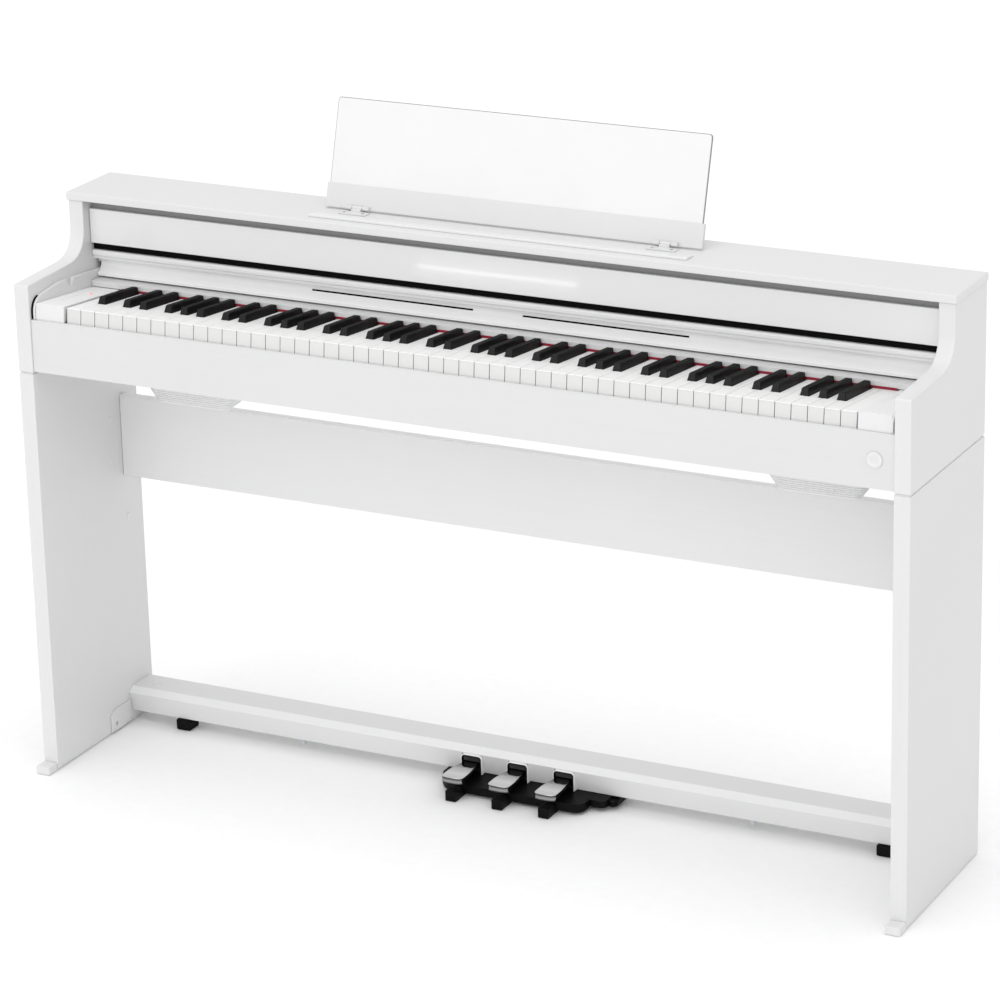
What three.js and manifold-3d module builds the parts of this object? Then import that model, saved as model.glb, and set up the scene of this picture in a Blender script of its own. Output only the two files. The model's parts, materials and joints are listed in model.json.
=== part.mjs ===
// Slim console digital piano: a shallow cabinet on two board legs, a tilted 88-note keyboard,
// a sliding two-leaf key cover, a folding music rest and a cross beam with three pedals.
// Millimetres, +Z up, the player sits on the -Y side, origin on the floor under the middle.

import * as THREE from 'three';
import { mergeVertices } from 'three/addons/utils/BufferGeometryUtils.js';
import Module from 'manifold-3d';

const wasm = await Module();
wasm.setup();

// ---------- driving dimensions ----------

const GAP = 0.3; // running gap between boards that touch

const WIDTH = 1393; // over the top board
const TOP_Z = 859; // top of the cabinet
const FRONT_Y = -149.5; // toe of the foot blocks
const BACK_Y = 149.5; // back of the boards

const BOARD = 24; // cheeks and legs
const CHEEK_X = 694.5; // outer face of cheek and leg
const INNER_X = CHEEK_X - BOARD; // inner face of cheek and leg
const CHEEK_FRONT_Y = -126.5;
const CHEEK_BOTTOM_Z = 628;
const ARM_Z = 760; // top of the cheek's arm at its front
const TOP_BOARD_T = 12;
const TOP_BOARD_FRONT_Y = 27;

const LEG_BOTTOM_Z = 3;
const FOOT_H = 12.4;
const FOOT_W = 22.5;

const PANEL_Y = 46; // front face of the glossy panel
const PANEL_T = 6;
const PANEL_Z = [779.5, 832];

const REAR_T = 6;
const KEYBED_T = 12;

const SLIP_Y = -123.5;
const SLIP_T = 6.5;
const SLIP_Z = [CHEEK_BOTTOM_Z + 1.5, 708];

const MODESTY_Y = 99;
const MODESTY_T = 15;
const MODESTY_Z = [398.5, 527];

// keyboard, laid out in its own tilted frame: y runs back along the keys, z is square to them
const KEY_FRONT_Y = -114;
const KEY_TOP_Z = 730;
const KEY_TILT = THREE.MathUtils.degToRad(6);
const WHITE_COUNT = 52;
const PITCH = 23.6;
const KEY_GAP = 1.1;
const WHITE_T = 9;
const LIP_H = 20; // height of a white key's front
const SHARP_Y = [52, 144]; // raised part of a sharp
const SHARP_H = 10.5;
const SHARP_BASE_W = 13;
const SHARP_TOP_W = 9.6;
const SLOT_W = 15; // room between white tails for a sharp
const WHITE_END_Y = 183;
const KEY_END_Y = 207;
const WEB_Z = [-18, -11]; // white key's heel, under the sharps' tails
const TAIL_Z = [-8.4, -1]; // sharp's tail
const OCTAVE_START = 23; // white key that starts the middle octave
const OCTAVE_WHITES = 7;

const LID_SLOPE = THREE.MathUtils.degToRad(4.3); // the key cover's path rises towards the player
const LID_T = 7;
const LID_NOSE = { y: 48, top: 768.3, bottom: 759.5 };
const LID_HINGE_Y = 135;
const LID_REAR_LENGTH = 87;
const APRON_FRONT_Y = 50.4;
const APRON_BOTTOM_Z = 728.3;
const COVE_BACK_Y = 61;
const COVE_Z = [733.5, 755];
const LINER_X = [664.5, 670.2];

const LEDGE_Y = [33, 57];
const LEDGE_Z = [716.8, 725.5];

const REST_TILT = THREE.MathUtils.degToRad(16.5);
const REST_BASE = { y: 95, z: 861.8 };
const REST_HALF_W = 297;
const REST_BAND_H = 35;
const REST_H = 158.5;
const REST_PIVOT = { y: -3, z: 2.5 }; // hinge line in the rest's own frame
const REST_HINGE_X = 243;

const BEAM_Z = [17.5, 57.5];
const BEAM_BACK_Y = 141;
const PEDAL_X = [-76, 0, 76];
const PEDAL_W = 34.5;
const PEDAL_TIP_Y = 12;
const PEDAL_TOP_Z = 37;
const PEDAL_PIVOT = { y: 124, z: 31 };

const KNOB = { x: 642, z: 670.3, r: 11.4 };
const SPEAKER_X = 498;

// ---------- finishes ----------

const finish = (color, roughness, metalness = 0) => ({ color, roughness, metalness });
const SATIN_WHITE = finish(0xebebea, 0.45);
const GLOSS_WHITE = finish(0xf2f2f2, 0.08);
const KEY_WHITE = finish(0xf4f3ef, 0.3);
const KEY_BLACK = finish(0x161517, 0.5);
const PLASTIC_WHITE = finish(0xe9e9e8, 0.4);
const PLASTIC_BLACK = finish(0x121214, 0.5);
const RUBBER_BLACK = finish(0x101010, 0.85);
const FELT_RED = finish(0x7a0f1c, 0.95);
const CHROME = finish(0xd8d8da, 0.08, 1);
const STEEL = finish(0xb8babd, 0.35, 1);
const BOARD_GREEN = finish(0x1d5a3a, 0.6);

// ---------- shape helpers ----------

const box = (x0, x1, y0, y1, z0, z1) =>
  new THREE.BoxGeometry(x1 - x0, y1 - y0, z1 - z0)
    .translate((x0 + x1) / 2, (y0 + y1) / 2, (z0 + z1) / 2);

const outline = (points) => new THREE.Shape(points.map(([u, v]) => new THREE.Vector2(u, v)));

const extrude = (shape, depth, curveSegments = 8) =>
  new THREE.ExtrudeGeometry(shape, { depth, bevelEnabled: false, curveSegments });

// an outline of (y, z) points drawn out along x
function alongX(shape, x0, x1, curveSegments) {
  const toYZ = new THREE.Matrix4().makeBasis(
    new THREE.Vector3(0, 1, 0), new THREE.Vector3(0, 0, 1), new THREE.Vector3(1, 0, 0));
  return extrude(shape, x1 - x0, curveSegments).applyMatrix4(toYZ).translate(x0, 0, 0);
}

// an outline of (x, z) points drawn out along y
function alongY(shape, y0, y1, curveSegments) {
  const toXZ = new THREE.Matrix4().makeBasis(
    new THREE.Vector3(1, 0, 0), new THREE.Vector3(0, 0, 1), new THREE.Vector3(0, -1, 0));
  return extrude(shape, y1 - y0, curveSegments).applyMatrix4(toXZ).translate(0, y1, 0);
}

// an outline of (x, y) points drawn out along z
const alongZ = (shape, z0, z1, curveSegments) =>
  extrude(shape, z1 - z0, curveSegments).translate(0, 0, z0);

const rodX = (radius, x0, x1, y, z, sides = 16) =>
  new THREE.CylinderGeometry(radius, radius, x1 - x0, sides)
    .rotateZ(-Math.PI / 2).translate((x0 + x1) / 2, y, z);

const rodY = (radius, y0, y1, x, z, sides = 32) =>
  new THREE.CylinderGeometry(radius, radius, y1 - y0, sides).translate(x, (y0 + y1) / 2, z);

const rodZ = (radius, z0, z1, x, y, sides = 24) =>
  new THREE.CylinderGeometry(radius, radius, z1 - z0, sides)
    .rotateX(Math.PI / 2).translate(x, y, (z0 + z1) / 2);

// rectangle with rounded corners, centred on (cx, cy); radii run bottom then top
function roundedRect(cx, cy, width, height, bottomRadius, topRadius) {
  const [l, r, b, t] = [cx - width / 2, cx + width / 2, cy - height / 2, cy + height / 2];
  const shape = new THREE.Shape();
  shape.moveTo(l + bottomRadius, b);
  shape.lineTo(r - bottomRadius, b);
  if (bottomRadius) shape.absarc(r - bottomRadius, b + bottomRadius, bottomRadius, -Math.PI / 2, 0);
  shape.lineTo(r, t - topRadius);
  if (topRadius) shape.absarc(r - topRadius, t - topRadius, topRadius, 0, Math.PI / 2);
  shape.lineTo(l + topRadius, t);
  if (topRadius) shape.absarc(l + topRadius, t - topRadius, topRadius, Math.PI / 2, Math.PI);
  shape.lineTo(l, b + bottomRadius);
  if (bottomRadius) {
    shape.absarc(l + bottomRadius, b + bottomRadius, bottomRadius, Math.PI, Math.PI * 1.5);
  }
  return shape;
}

function toSolid(geometry) {
  const bare = geometry.clone();
  bare.deleteAttribute('normal');
  bare.deleteAttribute('uv');
  const merged = mergeVertices(bare, 1e-4);
  return new wasm.Manifold(new wasm.Mesh({
    numProp: 3,
    vertProperties: new Float32Array(merged.attributes.position.array),
    triVerts: new Uint32Array(merged.index.array),
  }));
}

function toGeometry(solid) {
  const mesh = solid.getMesh();
  const geometry = new THREE.BufferGeometry();
  geometry.setAttribute('position', new THREE.BufferAttribute(mesh.vertProperties, 3));
  geometry.setIndex(new THREE.BufferAttribute(mesh.triVerts, 1));
  return geometry;
}

const join = (...pieces) =>
  toGeometry(pieces.map(toSolid).reduce((whole, piece) => whole.add(piece)));

const cut = (body, ...tools) =>
  toGeometry(tools.map(toSolid).reduce((whole, tool) => whole.subtract(tool), toSolid(body)));

const piano = new THREE.Group();

function add(name, geometry, look, parent = piano) {
  const mesh = new THREE.Mesh(geometry, new THREE.MeshStandardMaterial(look));
  mesh.name = name;
  parent.add(mesh);
  return mesh;
}

// the same piece on both sides: make(side) gives the geometry for side -1 or 1
function addPair(name, make, look) {
  add(`left_${name}`, make(-1), look);
  add(`right_${name}`, make(1), look);
}

// x range of a board that lies between two distances from the middle, on one side
const sideRange = (side, near, far) => (side > 0 ? [near, far] : [-far, -near]);

// ---------- cabinet ----------

function topBoard() {
  const z0 = TOP_Z - TOP_BOARD_T;
  return box(-WIDTH / 2, WIDTH / 2, TOP_BOARD_FRONT_Y, BACK_Y, z0, TOP_Z);
}

// side board with its scroll: a level arm beside the keys that sweeps up to the top board
function cheek(side) {
  const shape = new THREE.Shape();
  shape.moveTo(CHEEK_FRONT_Y, CHEEK_BOTTOM_Z);
  shape.lineTo(BACK_Y, CHEEK_BOTTOM_Z);
  shape.lineTo(BACK_Y, TOP_Z - TOP_BOARD_T - GAP);
  shape.lineTo(30, TOP_Z - TOP_BOARD_T - GAP);
  shape.lineTo(30, 810);
  shape.bezierCurveTo(30, 776, 12, 765, -14, 763);
  shape.lineTo(CHEEK_FRONT_Y + 2, ARM_Z);
  shape.lineTo(CHEEK_FRONT_Y, ARM_Z - 2);
  return alongX(shape, ...sideRange(side, INNER_X, CHEEK_X), 14);
}

// board leg with a shadow groove under the cheek
function leg(side) {
  const neck = 2;
  return join(
    box(...sideRange(side, INNER_X, CHEEK_X), CHEEK_FRONT_Y, BACK_Y, LEG_BOTTOM_Z, 625.5),
    box(...sideRange(side, INNER_X + neck, CHEEK_X - neck), CHEEK_FRONT_Y + neck, BACK_Y - neck,
      620, CHEEK_BOTTOM_Z - GAP));
}

// toe block in front of the leg, with a thin sole that runs back under it
function foot(side) {
  const x = sideRange(side, CHEEK_X - FOOT_W, CHEEK_X);
  return join(
    box(...x, FRONT_Y, CHEEK_FRONT_Y - GAP, 0, FOOT_H),
    box(...x, CHEEK_FRONT_Y - 5, BACK_Y - 2, 0, LEG_BOTTOM_Z - GAP));
}

function frontPanel() {
  const half = INNER_X - 0.7;
  return box(-half, half, PANEL_Y, PANEL_Y + PANEL_T, ...PANEL_Z);
}

// deep batten that carries the front panel from the top board
function panelBatten() {
  const half = INNER_X - 0.7;
  const y0 = PANEL_Y + PANEL_T + GAP;
  return box(-half, half, y0, y0 + 16, 800, TOP_Z - TOP_BOARD_T - GAP);
}

function rearPanel() {
  const half = INNER_X - GAP;
  return box(-half, half, BACK_Y - REAR_T, BACK_Y, CHEEK_BOTTOM_Z, TOP_Z - TOP_BOARD_T - GAP);
}

function bottomBoard() {
  const half = INNER_X - GAP;
  return box(-half, half, SLIP_Y + SLIP_T + GAP, BACK_Y - REAR_T - GAP,
    CHEEK_BOTTOM_Z, CHEEK_BOTTOM_Z + KEYBED_T);
}

function keySlip() {
  const half = INNER_X - GAP;
  return cut(
    box(-half, half, SLIP_Y, SLIP_Y + SLIP_T, ...SLIP_Z),
    rodY(3.6, SLIP_Y - 1, SLIP_Y + SLIP_T + 1, KNOB.x, KNOB.z, 24));
}

function modestyBoard() {
  const half = INNER_X - GAP;
  return box(-half, half, MODESTY_Y, MODESTY_Y + MODESTY_T, ...MODESTY_Z);
}

add('top_board', topBoard(), SATIN_WHITE);
addPair('cheek', cheek, SATIN_WHITE);
addPair('leg', leg, SATIN_WHITE);
addPair('foot', foot, PLASTIC_WHITE);
add('front_panel', frontPanel(), GLOSS_WHITE);
add('panel_batten', panelBatten(), SATIN_WHITE);
add('rear_panel', rearPanel(), SATIN_WHITE);
add('bottom_board', bottomBoard(), SATIN_WHITE);
add('key_slip', keySlip(), SATIN_WHITE);
add('modesty_board', modestyBoard(), SATIN_WHITE);

// ---------- volume knob, inlet, speakers and circuit board ----------

const volumeKnob = join(
  rodY(KNOB.r, SLIP_Y - 2.2, SLIP_Y - GAP, KNOB.x, KNOB.z, 40),
  rodY(3, SLIP_Y - 1, SLIP_Y + SLIP_T + 6, KNOB.x, KNOB.z, 24));
add('volume_knob', volumeKnob, PLASTIC_WHITE);

const powerInlet = cut(
  box(520, 552, BACK_Y - REAR_T - 28, BACK_Y - REAR_T - GAP, 645, 668),
  box(525, 547, BACK_Y - REAR_T - 18, BACK_Y, 650, 663));
const inletWindow = box(524, 548, BACK_Y - REAR_T - 1, BACK_Y + 1, 649, 664);
piano.getObjectByName('rear_panel').geometry = cut(rearPanel(), inletWindow);
add('power_inlet', powerInlet, PLASTIC_BLACK);

// louvred speaker box under the keybed; its lower corners are cut off and its front is ribbed
function speakerBox(side) {
  const [floor, top] = [552.5, CHEEK_BOTTOM_Z - GAP];
  const [half, back, foot, taper] = [74, 68, 61, 18];
  const x = side * SPEAKER_X;
  const shape = outline([
    [x - half, 38], [x - half + 4, 29], [x - half + 12, 24], [x + half - 12, 24],
    [x + half - 4, 29], [x + half, 38], [x + back, 95], [x - back, 95]]);
  const flank = (s) => alongY(outline([
    [x + s * foot, floor - 1], [x + s * (half + 1), floor - 1],
    [x + s * (half + 1), floor + taper], [x + s * half, floor + taper], [x + s * foot, floor]]), 23, 96);
  const grooves = [];
  for (let z = floor + 3; z < floor + 20; z += 3) {
    grooves.push(box(x - foot + 9, x + foot - 9, 23, 25.6, z, z + 1.3));
  }
  return cut(alongZ(shape, floor, top), flank(-1), flank(1), ...grooves);
}
addPair('speaker_box', speakerBox, PLASTIC_WHITE);

const mainBoard = join(
  box(-160, 160, -76, 4, 644.5, 646),
  box(-120, -70, -60, -24, 645, 652),
  box(20, 60, -54, -14, 645, 649),
  box(100, 130, -64, -10, 645, 651),
  ...[-150, 150].map((x) => rodZ(4, CHEEK_BOTTOM_Z + KEYBED_T + GAP, 645, x, -66, 12)),
  ...[-150, 150].map((x) => rodZ(4, CHEEK_BOTTOM_Z + KEYBED_T + GAP, 645, x, -6, 12)));
add('main_board', mainBoard, BOARD_GREEN);

// ---------- keyboard ----------

const keyboard = new THREE.Group();
keyboard.position.set(0, KEY_FRONT_Y, KEY_TOP_Z);
keyboard.rotation.x = -KEY_TILT;
piano.add(keyboard);

const KEYS_LEFT_X = -WHITE_COUNT * PITCH / 2;

// sharps stand over the boundary to the right of white keys A, C, D, F and G
const NOTE_NAMES = ['c', 'd', 'e', 'f', 'g', 'a', 'b'];
const SHARP_SHIFT = { c: -2, d: 2, f: -3, g: 0, a: 3 };
const noteName = (white) => NOTE_NAMES[(white + 5) % 7];

function sharpCentre(white) {
  const shift = SHARP_SHIFT[noteName(white)];
  const isLast = white >= WHITE_COUNT - 1;
  if (white < 0 || isLast || shift === undefined) return undefined;
  return KEYS_LEFT_X + (white + 1) * PITCH + shift;
}

// x range of a white key's tail, between the sharps on either side
function whiteTail(white) {
  const x0 = KEYS_LEFT_X + white * PITCH;
  const before = sharpCentre(white - 1);
  const after = sharpCentre(white);
  return [
    before === undefined ? x0 + KEY_GAP / 2 : before + SLOT_W / 2,
    after === undefined ? x0 + PITCH - KEY_GAP / 2 : after - SLOT_W / 2];
}

function whiteKey(white) {
  const x0 = KEYS_LEFT_X + white * PITCH + KEY_GAP / 2;
  const x1 = KEYS_LEFT_X + (white + 1) * PITCH - KEY_GAP / 2;
  const [t0, t1] = whiteTail(white);
  return [
    box(x0, x1, 0, SHARP_Y[0] - 1, -WHITE_T, 0),
    box(x0, x1, 0, 5, -LIP_H, -1),
    box(t0, t1, SHARP_Y[0] - 2, WHITE_END_Y, -WHITE_T, 0),
    box(t0, t1, 174, WHITE_END_Y, WEB_Z[0], -WHITE_T + 1),
    box(t0, t1, 175, KEY_END_Y, ...WEB_Z)];
}

// raised sharp with sloping sides and a sloping front
function sharpTop(x) {
  const [y0, y1] = SHARP_Y;
  const geometry = box(x - SHARP_BASE_W / 2, x + SHARP_BASE_W / 2, y0, y1, 0, SHARP_H);
  const position = geometry.attributes.position;
  const inset = (SHARP_BASE_W - SHARP_TOP_W) / 2;
  for (let i = 0; i < position.count; i++) {
    if (position.getZ(i) < SHARP_H / 2) continue;
    position.setX(i, position.getX(i) - Math.sign(position.getX(i) - x) * inset);
    if (position.getY(i) < (y0 + y1) / 2) position.setY(i, y0 + 6);
  }
  return geometry;
}

function blackKey(white) {
  const x = sharpCentre(white);
  return [
    sharpTop(x),
    box(x - SHARP_BASE_W / 2, x + SHARP_BASE_W / 2, SHARP_Y[0], SHARP_Y[1], TAIL_Z[0], 0.01),
    box(x - 5, x + 5, SHARP_Y[1] - 2, KEY_END_Y - 2, ...TAIL_Z)];
}

// a run of keys on one shared heel, which stands in for single keys at the two ends
function whiteBank(first, last) {
  const pieces = [];
  for (let white = first; white <= last; white++) pieces.push(...whiteKey(white));
  pieces.push(box(whiteTail(first)[0], whiteTail(last)[1], 177, KEY_END_Y, ...WEB_Z));
  return join(...pieces);
}

function blackBank(first, last) {
  const whites = [];
  for (let white = first; white <= last; white++) {
    if (sharpCentre(white) !== undefined) whites.push(white);
  }
  const left = sharpCentre(whites[0]);
  const right = sharpCentre(whites[whites.length - 1]);
  return join(...whites.flatMap(blackKey), box(left, right, 187, KEY_END_Y - 2, ...TAIL_Z));
}

const OCTAVE_END = OCTAVE_START + OCTAVE_WHITES - 1;
add('white_keys_low', whiteBank(0, OCTAVE_START - 1), KEY_WHITE, keyboard);
add('black_keys_low', blackBank(0, OCTAVE_START - 1), KEY_BLACK, keyboard);
for (let white = OCTAVE_START; white <= OCTAVE_END; white++) {
  const note = noteName(white);
  add(`key_${note}4`, join(...whiteKey(white)), KEY_WHITE, keyboard);
  if (sharpCentre(white) !== undefined) {
    add(`key_${note}4_sharp`, join(...blackKey(white)), KEY_BLACK, keyboard);
  }
}
add('white_keys_high', whiteBank(OCTAVE_END + 1, WHITE_COUNT - 1), KEY_WHITE, keyboard);
add('black_keys_high', blackBank(OCTAVE_END + 1, WHITE_COUNT - 2), KEY_BLACK, keyboard);

// chassis under the keys: a floor plate on two rails, a front guide and the rear fulcrum
const keyFrame = join(
  box(-612, 612, 8, 205, -62, -56),
  box(-612, 612, 12, 34, -57, -34),
  box(-612, 612, 12, 34, -86.5, -61),
  box(-612, 612, 196, 205, -68.5, -19.5));
add('key_frame', keyFrame, STEEL, keyboard);

// block that fills the space between the last key and the liner
function endBlock(side) {
  const body = box(...sideRange(side, 616.4, LINER_X[0] - GAP), -3.5, 147.6, -21.5, 2);
  if (side < 0) return body;
  return cut(body, rodZ(4.4, -2, 4, 628.8, 116, 24));
}
add('left_end_block', endBlock(-1), PLASTIC_WHITE, keyboard);
add('right_end_block', endBlock(1), PLASTIC_WHITE, keyboard);
add('power_button', rodZ(4, -0.3, 3.6, 628.8, 116, 24), PLASTIC_WHITE, keyboard);

// ---------- key cover, its liners and the ledge behind the keys ----------

// plastic side liner; the cover's guide pins ride on its upper edge
function liner(side) {
  const shape = outline([
    [-120.5, SLIP_Z[1] + GAP], [130, SLIP_Z[1] + GAP], [130, 732.7], [48, 738.8],
    [-13.5, 743.4], [-22.5, 728], [-31.5, 744.8],
    [-48, 746], [-78, 743.8], [-104, 740], [-113, 737], [-118, 731], [-120.5, 722]]);
  return alongX(shape, ...sideRange(side, ...LINER_X));
}

function feltRail() {
  const half = LINER_X[0] - 0.5;
  return box(-half, half, ...LEDGE_Y, ...LEDGE_Z);
}

const felt = box(-612, 612, LEDGE_Y[0] - 0.2, LEDGE_Y[0] + 5, LEDGE_Z[0] - 2.1, LEDGE_Z[0] - GAP);

// height of the cover's top face at a given depth
const lidTop = (y) => LID_NOSE.top - (y - LID_NOSE.y - 8) * Math.tan(LID_SLOPE);

// nose bar, the band under it and the front leaf, as wide as the space between the cheeks
function lidFront() {
  const { y, top, bottom } = LID_NOSE;
  const round = 3.6;
  const shape = new THREE.Shape();
  shape.moveTo(y + 8, top);
  shape.lineTo(y + round, top);
  shape.absarc(y + round, top - round, round, Math.PI / 2, Math.PI);
  shape.absarc(y + 2, bottom + 2, 2, Math.PI, Math.PI * 1.5);
  shape.lineTo(APRON_FRONT_Y, bottom);
  shape.lineTo(APRON_FRONT_Y, COVE_Z[1]);
  shape.lineTo(COVE_BACK_Y - GAP, COVE_Z[1]);
  shape.lineTo(COVE_BACK_Y - GAP, bottom);
  shape.lineTo(y + 22, lidTop(y + 22) - LID_T);
  shape.lineTo(LID_HINGE_Y, lidTop(LID_HINGE_Y) - LID_T);
  shape.lineTo(LID_HINGE_Y, lidTop(LID_HINGE_Y));
  return alongX(shape, -669.7, 669.7);
}

// wall behind the finger cove, with an arm and a guide pin at each end
function lidApron() {
  const arm = (side) => box(...sideRange(side, 655, 661), 64, 130, 731, 745);
  const pin = (side) => rodX(3, ...sideRange(side, 655, 668.5), 124, 736.9);
  return join(
    box(-663.6, 663.6, COVE_BACK_Y, COVE_BACK_Y + 7, APRON_BOTTOM_Z, LID_NOSE.bottom - GAP),
    arm(-1), arm(1), pin(-1), pin(1));
}

// moulded lip along the foot of the apron; its upper face is the floor of the finger cove
function lidLip() {
  const shape = outline([
    [APRON_FRONT_Y, APRON_BOTTOM_Z], [COVE_BACK_Y - GAP, APRON_BOTTOM_Z],
    [COVE_BACK_Y - GAP, COVE_Z[0] + 5.5], [APRON_FRONT_Y, COVE_Z[0]]]);
  return alongX(shape, -663.6, 663.6);
}

// rear leaf, hanging down behind the keys while the cover is open
const LID_HINGE_Z = lidTop(LID_HINGE_Y) - LID_T;
const lidRear = box(-650, 650, LID_HINGE_Y + GAP, LID_HINGE_Y + LID_T,
  LID_HINGE_Z - LID_REAR_LENGTH, LID_HINGE_Z - GAP);

addPair('liner', liner, PLASTIC_WHITE);
add('felt_rail', feltRail(), SATIN_WHITE);
add('key_felt', felt, FELT_RED);
add('lid_front', lidFront(), SATIN_WHITE);
add('lid_apron', lidApron(), SATIN_WHITE);
add('lid_lip', lidLip(), SATIN_WHITE);
add('lid_rear', lidRear, SATIN_WHITE);

// ---------- music rest ----------

// low wedge on the top board that keeps books from sliding off
const stopperShape = outline([
  [44, TOP_Z + GAP], [68, TOP_Z + GAP], [68, TOP_Z + 1], [47, TOP_Z + 3.6], [44, TOP_Z + 3.2]]);
add('music_ledge', alongX(stopperShape, -297, 297), SATIN_WHITE);

const rest = new THREE.Group();
rest.position.set(0, REST_BASE.y, REST_BASE.z);
rest.rotation.x = -REST_TILT;
piano.add(rest);

const restSheet = alongY(
  roundedRect(0, (REST_H + 20) / 2, 2 * REST_HALF_W - 6, REST_H - 20, 0, 5), 1.5, 5, 5);
const restLug = (x) => cut(
  box(x - 5, x + 5, REST_PIVOT.y - 2.6, 1, REST_PIVOT.z - 2.6, REST_PIVOT.z + 2.6),
  rodX(1.6, x - 6, x + 6, REST_PIVOT.y, REST_PIVOT.z));
const LUG_X = [-REST_HINGE_X - 14, -REST_HINGE_X + 14, REST_HINGE_X - 14, REST_HINGE_X + 14];
const musicRest = join(
  box(-REST_HALF_W, REST_HALF_W, 0, 6, 0, REST_BAND_H), restSheet, ...LUG_X.map(restLug));
add('music_rest', musicRest, SATIN_WHITE, rest);

const PIVOT_Y = REST_BASE.y + REST_PIVOT.y * Math.cos(REST_TILT)
  + REST_PIVOT.z * Math.sin(REST_TILT);
const PIVOT_Z = REST_BASE.z - REST_PIVOT.y * Math.sin(REST_TILT)
  + REST_PIVOT.z * Math.cos(REST_TILT);

// hinge leaf screwed to the top board, with its knuckle standing behind it
function restHinge(side) {
  const x = side * REST_HINGE_X;
  return join(
    box(x - 22, x + 22, 74, 89, TOP_Z + GAP, TOP_Z + 1.6),
    box(x - 7.5, x + 7.5, 87, PIVOT_Y + 0.6, TOP_Z + GAP, PIVOT_Z - 1),
    rodX(2.2, x - 7.5, x + 7.5, PIVOT_Y, PIVOT_Z),
    rodX(1.5, x - 18.5, x + 18.5, PIVOT_Y, PIVOT_Z));
}
addPair('rest_hinge', restHinge, PLASTIC_WHITE);

// ---------- pedal beam and pedals ----------

const beamShape = outline([
  [88.5, BEAM_Z[0]], [BEAM_BACK_Y, BEAM_Z[0]], [BEAM_BACK_Y, BEAM_Z[1]],
  [91, BEAM_Z[1]], [81, 49]]);
const pocket = (x) => box(x - 17, x + 17, 70, 134, BEAM_Z[0] - 1, 46.5);
const beam = cut(
  alongX(beamShape, -INNER_X + GAP, INNER_X - GAP), ...PEDAL_X.map(pocket));
add('pedal_beam', beam, SATIN_WHITE);

// black casting under the beam: floor plate, three arched escutcheons and three rests
function pedalHousing() {
  const plateTop = BEAM_Z[0] - GAP;
  const pieces = [
    box(-120, 125, 36, 134, 4, plateTop),
    box(124, 150, 62, 126, 6, plateTop),
    box(149, 163, 72, 120, 6, plateTop - 3)];
  for (const x of PEDAL_X) {
    const arch = alongY(roundedRect(x, 26, 32, 39, 0, 5), 77, 95, 5);
    const mouth = alongY(roundedRect(x, 30, 27, 24, 0, 3), 76, 96, 5);
    pieces.push(cut(arch, mouth));
    pieces.push(box(x - 7, x + 7, 9, 60, 0, 16));
    pieces.push(box(x - 15, x + 15, 50, 134, 0, 10));
  }
  return join(...pieces);
}
add('pedal_housing', pedalHousing(), PLASTIC_BLACK);

// pedal: a broad rounded toe plate on a narrower arm that runs back into the beam
function pedal(x) {
  const half = PEDAL_W / 2;
  const toe = new THREE.Shape();
  toe.moveTo(x - 11, 94);
  toe.lineTo(x - 13, 78);
  toe.lineTo(x - half, 36);
  toe.lineTo(x - half, PEDAL_TIP_Y + 10);
  toe.bezierCurveTo(x - half, PEDAL_TIP_Y + 3, x - 13, PEDAL_TIP_Y, x, PEDAL_TIP_Y);
  toe.bezierCurveTo(x + 13, PEDAL_TIP_Y, x + half, PEDAL_TIP_Y + 3, x + half, PEDAL_TIP_Y + 10);
  toe.lineTo(x + half, 36);
  toe.lineTo(x + 13, 78);
  toe.lineTo(x + 11, 94);
  return join(
    alongZ(toe, PEDAL_TOP_Z - 10.5, PEDAL_TOP_Z, 6),
    box(x - 9, x + 9, 54, 128, PEDAL_TOP_Z - 11, PEDAL_TOP_Z - 4));
}
const PEDAL_NAMES = ['soft_pedal', 'sostenuto_pedal', 'damper_pedal'];
PEDAL_NAMES.forEach((name, i) => add(name, pedal(PEDAL_X[i]), CHROME));

addPair('beam_foot',
  (side) => box(...sideRange(side, 566, 590), 83, 113, 0, BEAM_Z[0] - GAP), RUBBER_BLACK);

// plate screwed to the leg's inner face, in front of the beam's end
function legBracket(side) {
  const shape = outline([[24, 3.5], [80, 3.5], [80, 38], [36, 38], [24, 30]]);
  const x = sideRange(side, INNER_X - 2.3, INNER_X - GAP);
  return cut(alongX(shape, ...x), rodX(3.2, x[0] - 1, x[1] + 1, 39, 14, 20));
}
addPair('leg_bracket', legBracket, PLASTIC_WHITE);

export default piano;
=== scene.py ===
"""Looks of the slim console piano: bevelled boards, single keys, pedals, finishes, floor and lights."""

import json
import math

import bmesh
import bpy
from mathutils import Matrix, Vector


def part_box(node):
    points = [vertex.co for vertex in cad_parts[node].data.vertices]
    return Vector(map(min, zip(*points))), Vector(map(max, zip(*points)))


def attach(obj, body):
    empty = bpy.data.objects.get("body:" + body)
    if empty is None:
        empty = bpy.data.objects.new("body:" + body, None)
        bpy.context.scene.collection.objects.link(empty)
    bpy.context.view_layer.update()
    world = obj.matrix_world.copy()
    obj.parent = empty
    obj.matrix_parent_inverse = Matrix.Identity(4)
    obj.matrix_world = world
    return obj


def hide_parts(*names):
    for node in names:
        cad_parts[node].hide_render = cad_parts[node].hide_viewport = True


MM = 0.001

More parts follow.
